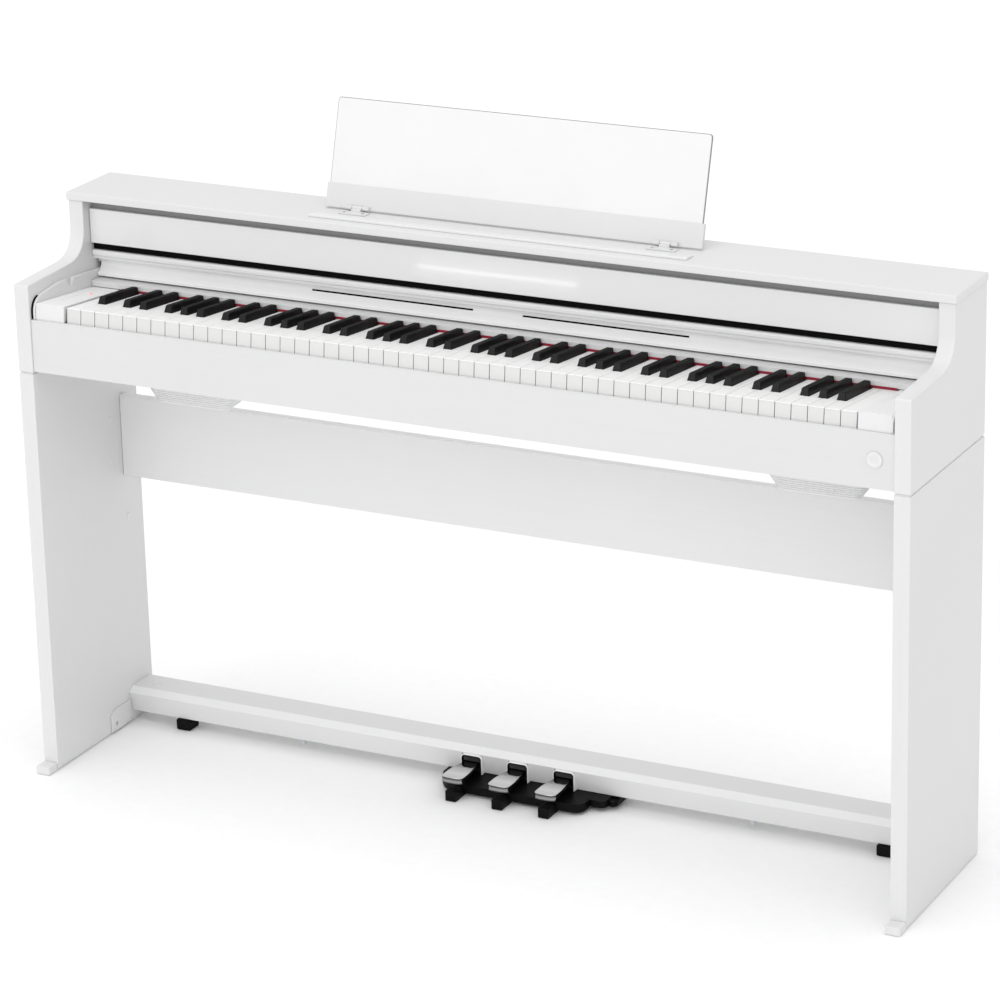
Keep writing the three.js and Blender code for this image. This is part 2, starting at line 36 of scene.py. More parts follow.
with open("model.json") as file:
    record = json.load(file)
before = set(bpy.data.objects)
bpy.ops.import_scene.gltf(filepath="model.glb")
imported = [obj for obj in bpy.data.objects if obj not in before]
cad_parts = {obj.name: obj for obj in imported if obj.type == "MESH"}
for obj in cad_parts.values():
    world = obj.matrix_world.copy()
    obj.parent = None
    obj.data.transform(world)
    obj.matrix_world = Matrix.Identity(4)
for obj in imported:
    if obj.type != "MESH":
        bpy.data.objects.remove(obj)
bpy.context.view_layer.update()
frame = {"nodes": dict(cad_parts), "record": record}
scene = bpy.context.scene
record = frame["record"]
slot_of = {part["node"]: part["material_slot"] for part in record["subparts"]}
body_of = {
    node: body for body, nodes in record["behaviour"]["bodies"].items() for node in nodes
}


# ---------------------------------------------------------------- materials


class Nodes:
    """A material's node tree, with short calls for the nodes used here."""

    def __init__(self, name):
        self.material = bpy.data.materials.new(name)
        self.material.use_nodes = True
        self.tree = self.material.node_tree
        self.shader = self.tree.nodes["Principled BSDF"]

    def add(self, kind, **values):
        node = self.tree.nodes.new(kind)
        for key, value in values.items():
            if hasattr(node, key):
                setattr(node, key, value)
            else:
                node.inputs[key.replace("_", " ")].default_value = value
        return node

    def link(self, source, target):
        self.tree.links.new(source, target)

    def coords(self, scale):
        where = self.add("ShaderNodeTexCoord")
        mapping = self.add("ShaderNodeMapping")
        mapping.inputs["Scale"].default_value = scale
        self.link(where.outputs["Object"], mapping.inputs["Vector"])
        return mapping.outputs["Vector"]

    def noise(self, scale, detail=4.0, roughness=0.5, distortion=0.0):
        node = self.add("ShaderNodeTexNoise", Detail=detail, Roughness=roughness)
        node.inputs["Scale"].default_value = 1.0
        node.inputs["Distortion"].default_value = distortion
        self.link(self.coords(scale), node.inputs["Vector"])
        return node.outputs["Fac"]

    def ramp(self, factor, *stops):
        node = self.add("ShaderNodeValToRGB")
        elements = node.color_ramp.elements
        while len(elements) < len(stops):
            elements.new(0.5)
        for element, (position, colour) in zip(elements, stops):
            element.position = position
            element.color = (*colour, 1.0)
        self.link(factor, node.inputs["Fac"])
        return node.outputs["Color"]

    def remap(self, factor, low, high, start=0.3, end=0.7):
        node = self.add("ShaderNodeMapRange")
        node.inputs["From Min"].default_value = start
        node.inputs["From Max"].default_value = end
        node.inputs["To Min"].default_value = low
        node.inputs["To Max"].default_value = high
        self.link(factor, node.inputs["Value"])
        return node.outputs["Result"]

    def blend(self, first, second, share):
        node = self.add("ShaderNodeMix", data_type="FLOAT")
        node.inputs[0].default_value = share
        self.link(first, node.inputs[2])
        self.link(second, node.inputs[3])
        return node.outputs[0]

    def bump(self, height, strength, distance):
        node = self.add("ShaderNodeBump")
        node.inputs["Strength"].default_value = strength
        node.inputs["Distance"].default_value = distance
        self.link(height, node.inputs["Height"])
        self.link(node.outputs["Normal"], self.shader.inputs["Normal"])

    def colour(self, value):
        self.link(value, self.shader.inputs["Base Color"])

    def rough(self, value):
        self.link(value, self.shader.inputs["Roughness"])

    def set(self, **values):
        for key, value in values.items():
            self.shader.inputs[key.replace("_", " ")].default_value = value


def shades(base, spread):
    """Two close tones of one colour, for a ramp across a noise."""
    return [tuple(c * (1 - spread) for c in base), tuple(min(1, c * (1 + spread)) for c in base)]


def satin_board(name, grain, white=0.704):
    """White foil with a fine wood grain. grain is the axis that the fibres run along."""
    m = Nodes(name)
    along, across = 1.6, 150.0
    scale = tuple(along if axis == grain else across for axis in "xyz")
    fibres = m.noise(scale, detail=6, roughness=0.62, distortion=0.35)
    pores = m.noise(tuple(9.0 if axis == grain else 620.0 for axis in "xyz"), detail=2)
    patches = m.noise((3.1, 3.1, 3.1), detail=2)
    low, high = shades((white, white, white + 0.003), 0.012)
    m.colour(m.ramp(m.blend(fibres, patches, 0.45), (0.35, low), (0.68, high)))
    m.rough(m.remap(fibres, 0.36, 0.50))
    m.bump(m.blend(fibres, pores, 0.4), 0.22, 0.0004)
    m.set(Specular_IOR_Level=0.42)
    return m.material


def gloss_panel(name, base):
    """Lacquered panel with a faint ripple under a clear coat."""
    m = Nodes(name)
    ripple = m.noise((7.0, 7.0, 7.0), detail=2)
    dust = m.noise((420.0, 420.0, 420.0), detail=2)
    low, high = shades(base, 0.006)
    m.colour(m.ramp(ripple, (0.3, low), (0.7, high)))
    m.rough(m.remap(dust, 0.05, 0.08))
    m.bump(ripple, 0.02, 0.0006)
    m.set(Coat_Weight=0.4, Coat_Roughness=0.02)
    return m.material


def plastic(name, base, roughness, stipple=0.12, grain=900.0, spread=0.01, shine=0.5):
    """Moulded plastic with a fine stipple and soft clouds of gloss."""
    m = Nodes(name)
    spots = m.noise((grain, grain, grain), detail=3, roughness=0.6)
    clouds = m.noise((14.0, 14.0, 14.0), detail=3)
    low, high = shades(base, spread)
    m.colour(m.ramp(clouds, (0.3, low), (0.7, high)))
    m.rough(m.remap(m.blend(spots, clouds, 0.5), roughness - 0.05, roughness + 0.07))
    m.bump(spots, stipple, 0.0002)
    m.set(Specular_IOR_Level=shine)
    return m.material


def key_top(name, base, roughness):
    """Moulded key plastic: an even colour, a soft sheen and the faint marks of playing."""
    m = Nodes(name)
    rubbed = m.noise((34.0, 9.0, 34.0), detail=3, roughness=0.5)
    skin = m.noise((1500.0, 700.0, 1500.0), detail=2)
    low, high = shades(base, 0.004)
    m.colour(m.ramp(rubbed, (0.3, low), (0.7, high)))
    m.rough(m.remap(rubbed, roughness - 0.02, roughness + 0.03))
    m.bump(skin, 0.03, 0.0002)
    m.set(Specular_IOR_Level=0.4, Coat_Weight=0.05, Coat_Roughness=0.35)
    return m.material


def sharp_black():
    m = Nodes("sharp_black")
    grain = m.noise((900.0, 60.0, 900.0), detail=5, roughness=0.65)
    rubbed = m.noise((120.0, 30.0, 120.0), detail=3)
    m.colour(m.ramp(grain, (0.3, (0.0030, 0.0030, 0.0034)), (0.75, (0.008, 0.0078, 0.0085))))
    m.rough(m.remap(m.blend(grain, rubbed, 0.5), 0.26, 0.40))
    m.bump(grain, 0.2, 0.0002)
    m.set(Specular_IOR_Level=0.08)
    return m.material


def felt():
    m = Nodes("felt_red")
    fuzz = m.noise((2600.0, 2600.0, 2600.0), detail=5, roughness=0.7)
    tufts = m.noise((240.0, 900.0, 900.0), detail=4)
    weave = m.blend(fuzz, tufts, 0.5)
    m.colour(m.ramp(weave, (0.3, (0.15, 0.001, 0.010)), (0.7, (0.40, 0.005, 0.034))))
    m.rough(m.remap(fuzz, 0.88, 1.0))
    m.bump(m.blend(fuzz, tufts, 0.4), 0.8, 0.0005)
    m.set(Sheen_Weight=0.4, Sheen_Roughness=0.5)
    return m.material


def metal(name, base, roughness, stroke=(60.0, 1400.0, 1400.0), depth=0.05):
    """Metal with polishing strokes; stroke is the noise scale along each axis."""
    m = Nodes(name)
    strokes = m.noise(stroke, detail=4, roughness=0.6)
    smears = m.noise((45.0, 45.0, 45.0), detail=3)
    low, high = shades(base, 0.05)
    m.colour(m.ramp(smears, (0.3, low), (0.7, high)))
    m.rough(m.remap(m.blend(strokes, smears, 0.5), roughness * 0.7, roughness * 1.4))
    m.bump(strokes, depth, 0.0002)
    m.set(Metallic=1.0)
    return m.material


def pedal_chrome():
    """Polished plate: painted reflections in bands up its front lip, and painted shade darkening it towards
    its waist.
    """
    m = Nodes("pedal_chrome")
    where = m.add("ShaderNodeTexCoord")
    split = m.add("ShaderNodeSeparateXYZ")
    m.link(where.outputs["Object"], split.inputs["Vector"])
    height = m.remap(split.outputs["Z"], 0.0, 1.0, *PEDAL_REFLECTION_BAND_Z)
    depth = m.remap(split.outputs["Y"], 0.0, 1.0, *PEDAL_WAIST_SHADE_Y)
    smears = m.noise((45.0, 45.0, 45.0), detail=3)
    strokes = m.noise((900.0, 60.0, 900.0), detail=4, roughness=0.6)
    # painted reflections: bright and dark bands up the lip, by height
    painted_reflection_bands = m.ramp(
        height,
        (0.0, (0.03, 0.03, 0.03)),
        (0.12, (0.08, 0.08, 0.08)),
        (0.32, (0.44, 0.44, 0.445)),
        (0.62, (0.26, 0.26, 0.262)),
        (0.78, (0.05, 0.05, 0.052)),
        (0.88, (0.08, 0.08, 0.082)),
        (0.94, (0.78, 0.78, 0.785)),
        (0.99, (0.62, 0.62, 0.625)),
    )
    # painted shade: the plate darkens towards its waist, by depth
    painted_waist_shade = m.ramp(
        depth,
        (0.0, (0.90, 0.90, 0.90)),
        (0.3, (1.0, 1.0, 1.0)),
        (0.65, (0.62, 0.62, 0.625)),
        (1.0, (0.26, 0.26, 0.265)),
    )
    painted_light_tint = m.add("ShaderNodeMix", data_type="RGBA", blend_type="MULTIPLY")
    painted_light_tint.inputs[0].default_value = 1.0
    m.link(painted_reflection_bands, painted_light_tint.inputs[6])
    m.link(painted_waist_shade, painted_light_tint.inputs[7])
    m.colour(painted_light_tint.outputs[2])
    m.rough(m.remap(m.blend(strokes, smears, 0.5), 0.07, 0.15))
    m.bump(strokes, 0.02, 0.0002)
    m.set(Metallic=1.0)
    return m.material


def rubber():
    m = Nodes("rubber_black")
    pores = m.noise((700.0, 700.0, 700.0), detail=4)
    dust = m.noise((40.0, 40.0, 40.0), detail=4)
    m.colour(m.ramp(dust, (0.35, (0.003, 0.003, 0.003)), (0.8, (0.009, 0.009, 0.0088))))
    m.rough(m.remap(pores, 0.62, 0.85))
    m.bump(pores, 0.3, 0.0003)
    m.set(Specular_IOR_Level=0.1)
    return m.material


def circuit_green():
    m = Nodes("circuit_green")
    tracks = m.noise((260.0, 60.0, 260.0), detail=1)
    m.colour(m.ramp(tracks, (0.46, (0.010, 0.085, 0.042)), (0.54, (0.018, 0.15, 0.07))))
    m.rough(m.remap(tracks, 0.3, 0.45))
    m.bump(tracks, 0.15, 0.0002)
    return m.material


def lamp_red():
    m = Nodes("lamp_red")
    cells = m.noise((2000.0, 2000.0, 2000.0), detail=1)
    m.colour(m.ramp(cells, (0.3, (0.70, 0.01, 0.02)), (0.7, (0.85, 0.03, 0.04))))
    m.set(Roughness=0.3, Emission_Color=(1.0, 0.01, 0.02, 1.0), Emission_Strength=0.9)
    return m.material


WHITE = (0.706, 0.706, 0.710)
BLACK = (0.0035, 0.0035, 0.0038)
# ranges of the pedal chrome's painted reflection bands (height) and painted shade (depth)
PEDAL_REFLECTION_BAND_Z = (0.0268, 0.0372)  # metres, from the lip's foot to the plate's top
PEDAL_WAIST_SHADE_Y = (0.012, 0.072)  # metres, from the tip to the waist
looks = {
    "board_x": satin_board("satin_white_along_x", "x"),
    "board_z": satin_board("satin_white_along_z", "z"),
    # lighter copy of the satin white: painted highlight on the key cover's front and the beam's chamfer
    "board_painted_highlight": satin_board("satin_white_painted_highlight", "x", 0.775),
    # much lighter copy of the satin white: painted light in the key cover's hollow
    "board_cove": satin_board("satin_white_cove_painted_light", "x", 0.85),
    # lighter copy of the satin white: painted light on the modesty board under the key bed
    "board_low_painted_light": satin_board("satin_white_modesty_painted_light", "x", 0.738),
    # darker copy of the satin white: painted shade on the key slip
    "board_slip_painted_shade": satin_board("satin_white_slip_painted_shade", "x", 0.672),
    "gloss": gloss_panel("gloss_white", (0.765, 0.765, 0.769)),
    "rest": plastic("rest_white", (0.762, 0.762, 0.765), 0.36, stipple=0.05),
    "rest_band": plastic("rest_band_white", (0.665, 0.665, 0.67), 0.38, stipple=0.08),
    # dark grey round the music rest's edge: painted shade
    "rest_edge_painted_shade": plastic("rest_edge_painted_shade_grey", (0.26, 0.26, 0.262), 0.5, stipple=0.05),
    # lighter white for the knob's ring than its dish: painted highlight
    "knob": plastic("knob_ring_painted_highlight", (0.73, 0.73, 0.735), 0.34, stipple=0.05),
    # near-white for the modesty board's top and the pedal collars: painted highlight
    "edge_band": plastic("painted_highlight_band_white", (0.90, 0.90, 0.905), 0.4, stipple=0.08),
    # grey on the batten in the gap over the front panel: painted shade
    "painted_shade_gap": plastic("painted_shade_gap_grey", (0.24, 0.24, 0.243), 0.6),
    "plastic": plastic("plastic_white", WHITE, 0.36),
    "end_block": plastic("end_block_white", (0.735, 0.735, 0.74), 0.3, stipple=0.06),
    # lighter white for the end blocks' tops: painted light
    "block_top_painted_light": plastic("end_block_top_painted_light", (0.85, 0.848, 0.848), 0.36, stipple=0.06),
    "mark": plastic("mark_grey", (0.52, 0.56, 0.60), 0.4),
    "key": key_top("key_white", (0.880, 0.874, 0.870), 0.42),
    # darker copy of the key white for the key fronts: painted shade
    "key_front_painted_shade": key_top("key_front_painted_shade_white", (0.680, 0.681, 0.674), 0.45),
    "sharp": sharp_black(),
    # darkest black for the sharps' tops: painted shade
    "sharp_top_painted_shade": plastic(
        "sharp_top_painted_shade_black", (0.0025, 0.0025, 0.003), 0.5, stipple=0.15, spread=0.2, shine=0.05
    ),
    # lighter, shinier black for the sharps' fronts: painted light
    "sharp_front_painted_light": plastic(
        "sharp_front_painted_light_black", (0.009, 0.009, 0.0095), 0.3, stipple=0.06, spread=0.2, shine=0.24
    ),
    "black": plastic("plastic_black", BLACK, 0.42, stipple=0.3, grain=500.0, spread=0.2, shine=0.09),
    "bezel": plastic(
        "bezel_black", (0.0045, 0.0045, 0.0048), 0.45, stipple=0.15, grain=500.0, spread=0.2, shine=0.25
    ),
    "mouth": plastic("mouth_black", (0.035, 0.035, 0.037), 0.3, stipple=0.1, spread=0.1, shine=0.4),
    # black for the liner strips, sound slits and slot strip: painted shade
    "void": plastic("painted_shade_recess_black", (0.003, 0.003, 0.0032), 0.9, spread=0.2, shine=0.1),
    "felt": felt(),
    "chrome": metal("chrome", (0.72, 0.72, 0.73), 0.09, stroke=(900.0, 60.0, 900.0), depth=0.02),
    "pedal": pedal_chrome(),
    "steel": metal("steel", (0.52, 0.53, 0.54), 0.34),
    # darker steel for the screws' cross: painted shade of the recess
    "steel_cross_painted_shade": metal("steel_cross_painted_shade", (0.22, 0.22, 0.225), 0.45),
    "rubber": rubber(),
    "circuit": circuit_green(),
    "lamp": lamp_red(),
}
slot_look = {
    "satin_white": "board_x",
    "gloss_white": "gloss",
    "key_white": "key",
    "key_black": "sharp",
    "plastic_white": "plastic",
    "plastic_black": "black",
    "rubber_black": "rubber",
    "felt_red": "felt",
    "chrome": "chrome",
    "steel": "steel",
    "circuit_green": "circuit",
}


# ---------------------------------------------------------------- mesh tools


def finish_mesh(obj, bevel=0.0, segments=2, angle=32.0):
    """Rounds the edges of a piece, applies the modifier and shades it smooth up to an angle."""
    obj.data.shade_smooth()
    obj.data.set_sharp_from_angle(angle=math.radians(angle))
    if bevel:
        modifier = obj.modifiers.new("round", "BEVEL")
        modifier.width = bevel
        modifier.segments = segments
        modifier.limit_method = "ANGLE"
        modifier.angle_limit = math.radians(angle)
        modifier.use_clamp_overlap = True
        modifier.harden_normals = True
        bpy.context.view_layer.update()
        evaluated = obj.evaluated_get(bpy.context.evaluated_depsgraph_get())
        rounded = bpy.data.meshes.new_from_object(evaluated)
        obj.modifiers.clear()
        obj.data = rounded


def piece(name, bm, look, body, bevel=0.0, segments=2, angle=32.0):
    """Turns a bmesh into a finished object that rides on a body."""
    mesh = bpy.data.meshes.new(name)
    bmesh.ops.recalc_face_normals(bm, faces=bm.faces)
    bm.to_mesh(mesh)
    bm.free()
    obj = bpy.data.objects.new(name, mesh)
    scene.collection.objects.link(obj)
    for key in look if isinstance(look, (list, tuple)) else [look]:
        mesh.materials.append(looks[key])
    finish_mesh(obj, bevel, segments, angle)
    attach(obj, body)
    return obj


def add_box(bm, low, high, matrix=None, material=0):
    """A box from its lowest to its highest corner, in millimetres."""
    corners = [
        Vector((x, y, z)) * MM
        for z in (low[2], high[2]) for y in (low[1], high[1]) for x in (low[0], high[0])
    ]
    if matrix:
        corners = [matrix @ c for c in corners]
    v = [bm.verts.new(c) for c in corners]
    for ids in ((0, 2, 3, 1), (4, 5, 7, 6), (0, 1, 5, 4), (2, 6, 7, 3), (0, 4, 6, 2), (1, 3, 7, 5)):
        bm.faces.new([v[i] for i in ids]).material_index = material


def add_prism(bm, outline, place, matrix=None, material=0):
    """Joins two copies of an outline; place(u, v, end) gives the 3-D point in millimetres."""
    rings = []
    for end in (0, 1):
        points = [Vector(place(u, v, end)) * MM for u, v in outline]
        rings.append([bm.verts.new(matrix @ p if matrix else p) for p in points])
    n = len(outline)
    for i in range(n):
        j = (i + 1) % n
        bm.faces.new((rings[0][i], rings[0][j], rings[1][j], rings[1][i])).material_index = material
    bm.faces.new(rings[0]).material_index = material
    bm.faces.new(list(reversed(rings[1]))).material_index = material


def add_lathe(bm, profile, matrix, steps=48, material=0):
    """Turns (radius, height) points in millimetres round the z axis of a matrix in metres."""
    rings = []
    for radius, height in profile:
        if radius < 1e-6:
            rings.append([bm.verts.new(matrix @ (Vector((0, 0, height)) * MM))])
            continue
        ring = []
        for i in range(steps):
            a = 2 * math.pi * i / steps
            point = Vector((radius * math.cos(a), radius * math.sin(a), height))
            ring.append(bm.verts.new(matrix @ (point * MM)))
        rings.append(ring)
    for lower, upper in zip(rings, rings[1:]):
        for i in range(steps):
            j = (i + 1) % steps
            loop = [lower[i % len(lower)], lower[j % len(lower)],
                    upper[j % len(upper)], upper[i % len(upper)]]
            corners = list(dict.fromkeys(loop))
            if len(corners) > 2:
                bm.faces.new(corners).material_index = material


def add_rings(bm, rings, material=0):
    """Skin over closed rings of points in millimetres, with both ends capped."""
    loops = [[bm.verts.new(Vector(p) * MM) for p in ring] for ring in rings]
    for lower, upper in zip(loops, loops[1:]):
        for i in range(len(lower)):
            j = (i + 1) % len(lower)
            bm.faces.new((lower[i], lower[j], upper[j], upper[i])).material_index = material
    for loop in (loops[0], loops[-1]):
        bm.faces.new(loop).material_index = material


def bezier(p0, p1, p2, p3, steps=14):
    """Points along a cubic curve, both ends included."""
    points = []
    for i in range(steps + 1):
        t = i / steps
        w = ((1 - t) ** 3, 3 * t * (1 - t) ** 2, 3 * t * t * (1 - t), t ** 3)
        points.append(tuple(sum(k * p[axis] for k, p in zip(w, (p0, p1, p2, p3))) for axis in (0, 1)))
    return points


def rounded_outline(points, radius, steps=4):
    """Replaces every corner of an outline by an arc."""
    result = []
    for i, here in enumerate(points):
        corner = Vector(here)
        before = (Vector(points[i - 1]) - corner).normalized()
        after = (Vector(points[(i + 1) % len(points)]) - corner).normalized()
        half = before.angle(after) / 2
        centre = corner + (before + after).normalized() * (radius / math.sin(half))
        setback = radius / math.tan(half)
        start, end = corner + before * setback, corner + after * setback
        for k in range(steps + 1):
            spoke = (start - centre).lerp(end - centre, k / steps).normalized()
            result.append(tuple(centre + spoke * radius))
    return result


def rounded_rect(cx, cz, width, height, radius, steps=6):
    """Outline of a rectangle with round corners, centred on (cx, cz)."""
    points = []
    for sx, sz, start in ((1, -1, 270), (1, 1, 0), (-1, 1, 90), (-1, -1, 180)):
        for i in range(steps + 1):
            a = math.radians(start + 90 * i / steps)
            points.append((cx + sx * (width / 2 - radius) + radius * math.cos(a),
                           cz + sz * (height / 2 - radius) + radius * math.sin(a)))
    return points


def even_shading(obj):
    """Keeps flat faces flat beside their rounded edges."""
    obj.modifiers.new("weighted", "WEIGHTED_NORMAL").keep_sharp = True
    evaluated = obj.evaluated_get(bpy.context.evaluated_depsgraph_get())
    weighted = bpy.data.meshes.new_from_object(evaluated)
    obj.modifiers.clear()
    obj.data = weighted


def from_cad(node, look=None, bevel=0.6, segments=2, painted_light_top_look=None):
    """A rounded copy of a CAD node that stands for it; its top faces may take a lighter look of their own,
    as painted light.
    """
    source = frame["nodes"][node]
    bm = bmesh.new()
    bm.from_mesh(source.data)
    bmesh.ops.remove_doubles(bm, verts=bm.verts, dist=1e-6)
    bmesh.ops.dissolve_limit(bm, angle_limit=math.radians(0.6), verts=bm.verts, edges=bm.edges)
    bm.normal_update()
    for face in bm.faces:
        # top faces take the second look: painted light on the tops
        face.material_index = 1 if painted_light_top_look and face.normal.z > 0.9 else 0
    slot = slot_of[node]
    face_looks = [look or slot_look[slot]] + ([painted_light_top_look] if painted_light_top_look else [])
    obj = piece(node + "_finish", bm, face_looks, body_of[node], bevel * MM, segments)
    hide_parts(node)


# ---------------------------------------------------------------- cabinet

CHEEK_INNER = 670.2
BOARDS = {
    "top_board": ("board_x", 1.6),
    "left_cheek": ("board_z", 1.5),
    "right_cheek": ("board_z", 1.5),
    "left_leg": ("board_z", 1.8),
    "right_leg": ("board_z", 1.8),
    # the batten in the gap over the front panel is grey: painted shade
    "panel_batten": ("painted_shade_gap", 0.8),
    "rear_panel": ("board_x", 0.6),
    "bottom_board": ("board_x", 0.8),
    # the key slip takes a darker copy of the satin white: painted shade
    "key_slip": ("board_slip_painted_shade", 1.2),
    "felt_rail": ("board_x", 0.8),
    "music_ledge": ("rest", 0.6),
    # the key cover's front takes a lighter copy of the satin white: painted highlight
    "lid_front": ("board_painted_highlight", 0.4),
    "lid_rear": ("board_x", 0.8),
}
for node, (look, bevel) in BOARDS.items():
    from_cad(node, look=look, bevel=bevel, segments=3)

# the modesty board takes a lighter copy of the satin white and its top faces a still lighter white: painted
# light on a board in the shade of the key bed
from_cad("modesty_board", look="board_low_painted_light", bevel=1.5, segments=3, painted_light_top_look="edge_band")
from_cad("front_panel", bevel=1.3, segments=3)

for side in ("left", "right"):
    from_cad(side + "_foot", bevel=1.2, segments=3)
    # the end blocks' top faces take a lighter white than their sides: painted light on the tops
    from_cad(side + "_end_block", look="end_block", bevel=1.0, segments=3, painted_light_top_look="block_top_painted_light")
    from_cad(side + "_rest_hinge", bevel=0.5)
    from_cad(side + "_leg_bracket", bevel=0.5)

from_cad("power_inlet", bevel=0.5)
from_cad("main_board", bevel=0.3)
from_cad("key_frame", bevel=0.6)
from_cad("power_button", look="end_block", bevel=0.5)


def speaker_box(side):
    """Tapered box under the key bed: rounded front corners and fine grooves across its front."""
    low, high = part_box(side + "_speaker_box")
    middle, front, base, top = ((low[0] + high[0]) / 2 / MM, low[1] / MM, low[2] / MM, high[2] / MM)
    top_half, foot_inset, taper, corner, back, back_inset = 74, 13, 18, 14, 95, 6
    arc = 8

    def ring(z, inset, groove):
        half = top_half - foot_inset * max(0.0, 1 - (z - base) / taper)
        points = [(middle - half + back_inset, back, z), (middle - half + inset, front + corner, z)]
        for turn, centre in ((180, -half + corner), (270, half - corner)):
            for k in range(arc + 1):
                a = math.radians(turn + 90 * k / arc)
                depth = inset + groove * min(1.0, (k if turn == 180 else arc - k) / 4)
                points.append((middle + centre + (corner - depth) * math.cos(a),
                               front + corner + (corner - depth) * math.sin(a), z))
        return points + [(middle + half - inset, front + corner, z), (middle + half - back_inset, back, z)]

    steps = [(0.0, 2.0, 0), (0.35, 1.2, 0), (1.0, 0.5, 0), (2.0, 0.1, 0), (2.8, 0.0, 0)]
    groove_depth, groove_pitch = 0.9, 2.9
    for k in range(6):
        z = 3.4 + groove_pitch * k
        steps += [(z, 0, 0), (z + 0.35, 0, groove_depth), (z + 1.15, 0, groove_depth), (z + 1.5, 0, 0)]
    steps += [(21.5, 0, 0), (top - base, 0, 0)]
    bm = bmesh.new()
    add_rings(bm, [ring(base + z, inset, groove) for z, inset, groove in steps])
    obj = piece(side + "_speaker_box_finish", bm, "rest", "cabinet", angle=40)
    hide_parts(side + "_speaker_box")


def liner(side):
    """Plastic cheek liner with a notched top edge, and a black strip along its front curve that paints the
    shade of the groove there.
    """
    sign = -1 if side == "left" else 1
    inner, outer = sign * 664.5, sign * CHEEK_INNER
    curve = bezier((-48, 746), (-72, 744.6), (-92, 742.4), (-104, 740), 8)
    curve += bezier((-104, 740), (-112, 738.4), (-119, 732), (-120.5, 722), 8)[1:]
    foot = [(-120.5, 708.3), (130, 708.3), (130, 732.7), (48, 738.8)]
    notch = [(-13.5, 743.4), (-16.5, 739), (-22.5, 728.6), (-28.5, 740.4), (-31.5, 744.8)]
    bm = bmesh.new()
    add_prism(bm, foot + notch + curve, lambda u, v, end: ((inner, outer)[end], u, v))
    obj = piece(side + "_liner_finish", bm, "plastic", "cabinet", 0.6 * MM, 3, 30)
    even_shading(obj)
    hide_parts(side + "_liner")
    edge = [(y, z) for y, z in curve if y < -100] + [(-120.5, 708.8)]
    back = [(y + 2.2, z - 1.6 if y > -112 else z - 0.6) for y, z in edge]
    bm = bmesh.new()
    add_prism(bm, [(y - 0.9, z + 0.6) for y, z in edge] + list(reversed(back)),
              lambda u, v, end: (sign * (667.5, 670.3)[end], u, v))
    piece(side + "_liner_strip", bm, "void", "cabinet", angle=40)


def music_rest():
    """Leaning sheet with a fine edge all round, on a thicker band that carries the hinge lugs; the edge is
    dark grey as painted shade.
    """
    pivot, lean = Vector((0, 95, 861.8)), math.radians(16.5)
    rest = Matrix.Translation(pivot * MM) @ Matrix.Rotation(-lean, 4, "X")
    bm = bmesh.new()
    rings = []
    width, height, middle, corner = 588, 128.5, 94.25, 5
    for inset, y in ((1.0, 1.5), (0.35, 1.62), (0.0, 2.0), (0.0, 4.5), (0.5, 5.0)):
        shape = rounded_rect(0, middle, width - 2 * inset, height - 2 * inset, corner - inset)
        rings.append([rest @ (Vector((u, y, v)) * MM) / MM for u, v in shape])
    # the ring faces round the edge take the dark grey: painted shade
    add_rings(bm, rings, 1)
    for face in bm.faces:
        if len(face.verts) > 4:
            face.material_index = 0
    add_box(bm, (-297, 0, 0), (297, 6, 35), rest, 2)
    for x in (-257, -229, 229, 257):
        add_box(bm, (x - 5, -5.6, -0.1), (x + 5, 1, 5.1), rest, 2)
    obj = piece("music_rest_finish", bm, ("rest", "rest_edge_painted_shade", "rest_band"), "music_rest",
                0.5 * MM, 3, 60)
    even_shading(obj)
    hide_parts("music_rest")


for side in ("left", "right"):
    speaker_box(side)
    liner(side)

music_rest()


def key_felt():
    """Red felt strip along the rail behind the keys, with its front edge turned up."""
    bm = bmesh.new()
    shape = [(32.2, 714.8), (38, 714.8), (38, 716.4), (32.9, 716.4), (32.9, 718.2), (32.5, 718.4),
             (32.2, 718.1)]
    add_prism(bm, shape, lambda u, v, end: ((-612, 612)[end], u, v))
    obj = piece("key_felt_finish", bm, "felt", "cabinet", angle=40)
    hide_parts("key_felt")


key_felt()


# ---------------------------------------------------------------- keys

KEY_TILT = math.radians(6)
keyboard = Matrix.Translation(Vector((0, -114, 730)) * MM) @ Matrix.Rotation(-KEY_TILT, 4, "X")
WHITES = 52
PITCH = 23.6
KEY_GAP = 0.8
HEAD_LENGTH = 51.0
SLOT_W = 15.0
WHITE_END = 183
FRONT_SETBACK = 0.55
FRONT_INSET = 0.15
KEYS_LEFT = -WHITES * PITCH / 2
SHARP_SHIFT = {0: -2, 1: 2, 3: -3, 4: 0, 5: 3}  # counted from C, off the joint of two white keys
SHARP_SECTIONS = [  # height, half width, front and back
    (-8, 6.5, 52.0, 144.0), (0.2, 6.5, 52.0, 144.0), (8.8, 5.0, 53.8, 143.6), (10.5, 4.6, 55.8, 143.4),
]
OCTAVE = range(23, 30)  # the white keys with a body of their own
NOTES = "cdefgab"


def note_index(white):
    """Place of a white key in its octave, counted from C; the lowest key is an A."""
    return (white + 5) % len(NOTES)


def sharp_x(white):
    """Middle of the sharp that stands after a white key, or None."""
    shift = SHARP_SHIFT.get(note_index(white))
    if white < 0 or white >= WHITES - 1 or shift is None:
        return None
    return KEYS_LEFT + (white + 1) * PITCH + shift


